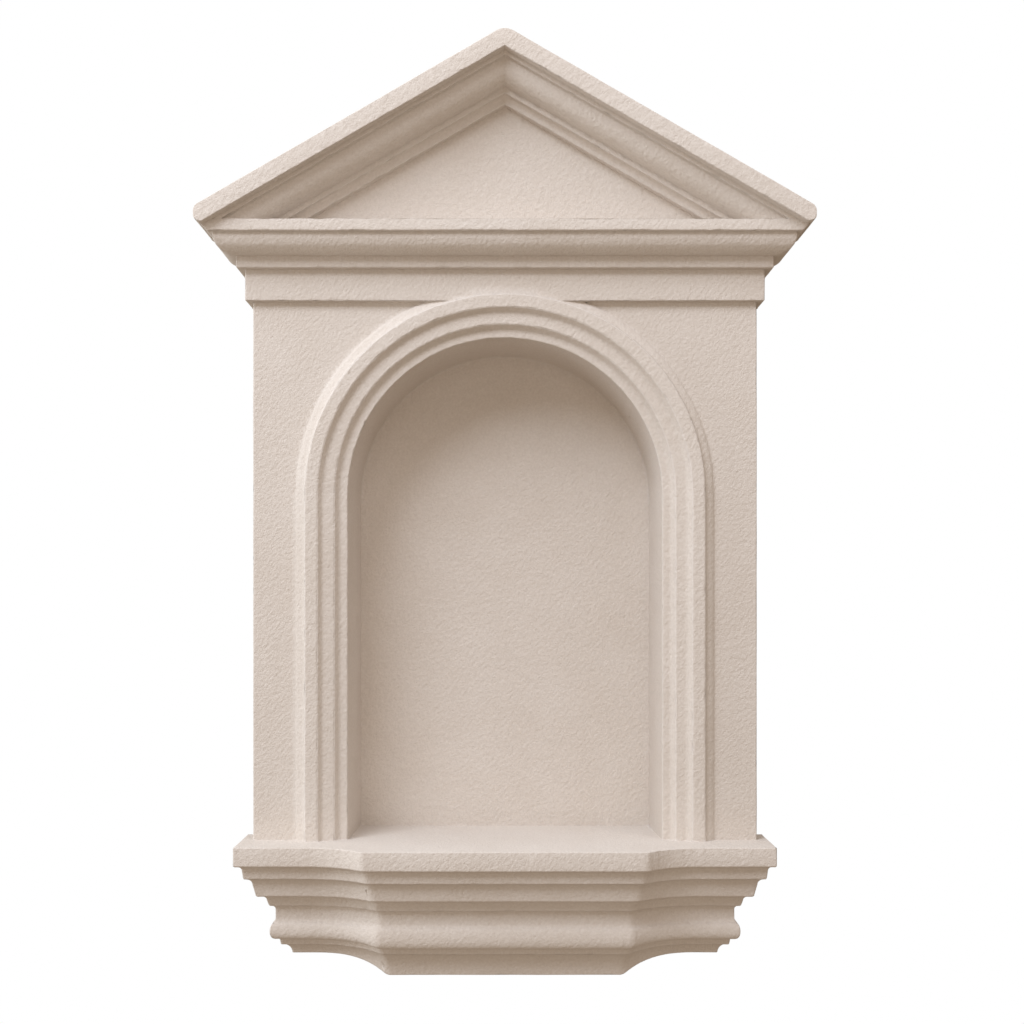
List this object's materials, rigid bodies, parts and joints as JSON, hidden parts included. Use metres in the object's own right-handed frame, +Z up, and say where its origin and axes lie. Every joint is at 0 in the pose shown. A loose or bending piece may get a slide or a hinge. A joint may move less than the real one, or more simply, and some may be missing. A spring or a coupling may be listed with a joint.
{
  "type": "wall niche",
  "caption": "Round-arched wall niche under a pediment, with a stepped architrave, a moulded cornice and a breakfront corbel shelf, cast in one piece of stone.",
  "frame": {"origin": "on the wall plane, on the centreline, behind the corbel and 62 mm below the shelf's top", "axes": "+Z up, +Y into the wall, so the front faces -Y; +X to the right seen from the front"},
  "size_m": [0.6038, 0.178, 0.9244],
  "materials": {
    "cast_stone": "warm pale cast stone with a fine sandy skin, matt"
  },
  "bodies": {
    "root": {"wall_niche": "cast_stone"}
  },
  "joints": []
}
